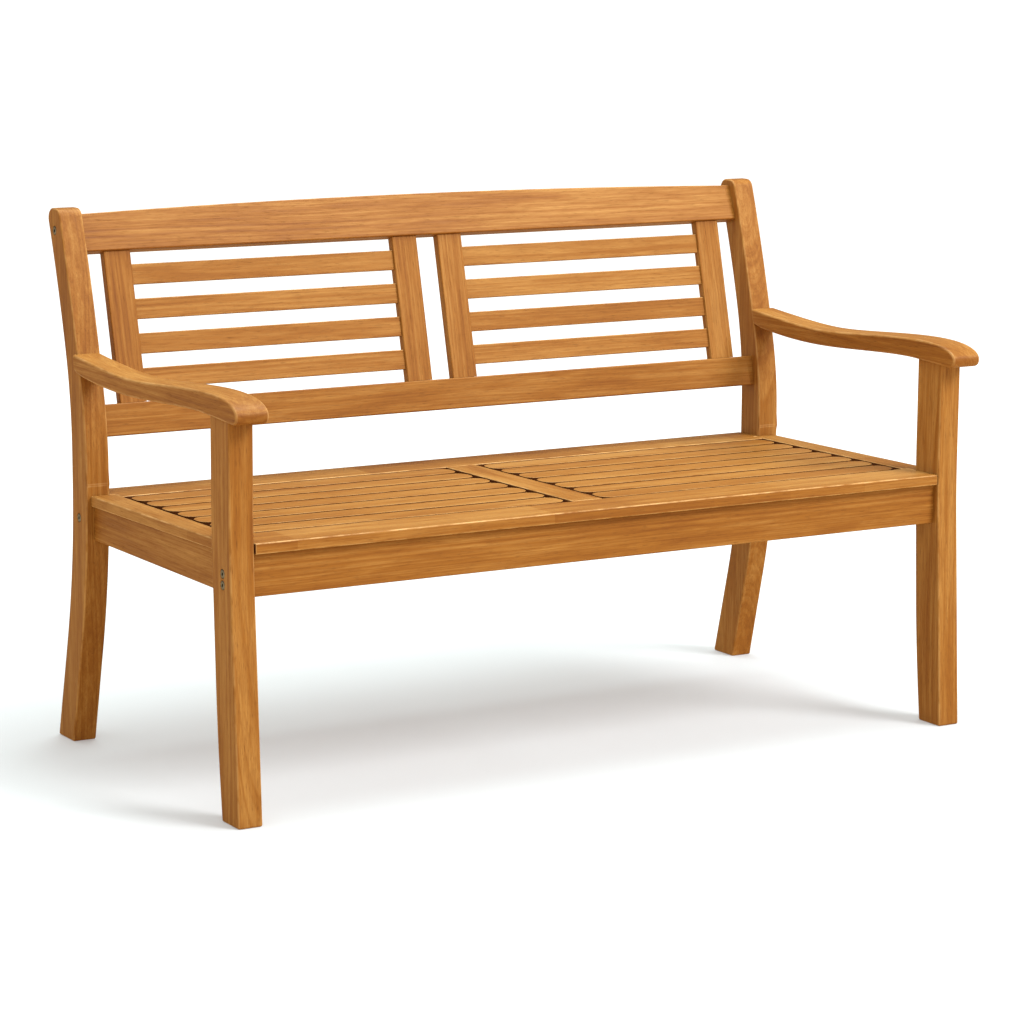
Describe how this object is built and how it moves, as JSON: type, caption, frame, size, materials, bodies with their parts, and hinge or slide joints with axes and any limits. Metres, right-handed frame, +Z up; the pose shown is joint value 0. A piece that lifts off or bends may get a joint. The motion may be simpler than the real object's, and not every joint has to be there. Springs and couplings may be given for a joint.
{
  "type": "garden bench",
  "caption": "Slatted hardwood garden bench with a leaning two-panel slatted back, curved legs and posts, scrolled armrests and a slatted seat.",
  "frame": {"origin": "on the ground, under the middle of the bench", "axes": "+Z up, +X along the bench to the right of someone looking at its front, the sitter faces -Y"},
  "size_m": [1.28, 0.6578, 0.819],
  "materials": {
    "frame_wood": "oiled honey-brown hardwood, slightly satin",
    "slat_wood": "oiled honey-brown hardwood, a little lighter",
    "bolt_steel": "zinc-plated, satin"
  },
  "bodies": {
    "root": {"back_post_right": "frame_wood", "front_leg_right": "frame_wood", "armrest_right": "frame_wood", "seat_end_board_right": "frame_wood", "side_apron_right": "frame_wood", "back_slat_right_1": "slat_wood", "back_slat_right_2": "slat_wood", "back_slat_right_3": "slat_wood", "back_slat_right_4": "slat_wood", "seat_slat_1_right": "slat_wood", "seat_slat_2_right": "slat_wood", "seat_slat_3_right": "slat_wood", "seat_slat_4_right": "slat_wood", "seat_slat_5_right": "slat_wood", "seat_slat_6_right": "slat_wood", "seat_slat_7_right": "slat_wood", "bolt_top_rail_right": "bolt_steel", "barrel_nut_top_rail_right": "bolt_steel", "bolt_back_apron_right": "bolt_steel", "barrel_nut_back_apron_right": "bolt_steel", "bolt_front_apron_upper_right": "bolt_steel", "barrel_nut_front_apron_upper_right": "bolt_steel", "bolt_front_apron_lower_right": "bolt_steel", "barrel_nut_front_apron_lower_right": "bolt_steel", "back_post_left": "frame_wood", "front_leg_left": "frame_wood", "armrest_left": "frame_wood", "seat_end_board_left": "frame_wood", "side_apron_left": "frame_wood", "back_slat_left_1": "slat_wood", "back_slat_left_2": "slat_wood", "back_slat_left_3": "slat_wood", "back_slat_left_4": "slat_wood", "seat_slat_1_left": "slat_wood", "seat_slat_2_left": "slat_wood", "seat_slat_3_left": "slat_wood", "seat_slat_4_left": "slat_wood", "seat_slat_5_left": "slat_wood", "seat_slat_6_left": "slat_wood", "seat_slat_7_left": "slat_wood", "bolt_top_rail_left": "bolt_steel", "barrel_nut_top_rail_left": "bolt_steel", "bolt_back_apron_left": "bolt_steel", "barrel_nut_back_apron_left": "bolt_steel", "bolt_front_apron_upper_left": "bolt_steel", "barrel_nut_front_apron_upper_left": "bolt_steel", "bolt_front_apron_lower_left": "bolt_steel", "barrel_nut_front_apron_lower_left": "bolt_steel", "stile_outer_left": "frame_wood", "stile_inner_left": "frame_wood", "stile_inner_right": "frame_wood", "stile_outer_right": "frame_wood", "top_rail": "frame_wood", "lower_back_rail": "frame_wood", "seat_front_board": "frame_wood", "seat_back_board": "frame_wood", "seat_centre_board": "frame_wood", "front_apron": "frame_wood", "back_apron": "frame_wood", "centre_rail": "frame_wood"}
  },
  "joints": []
}
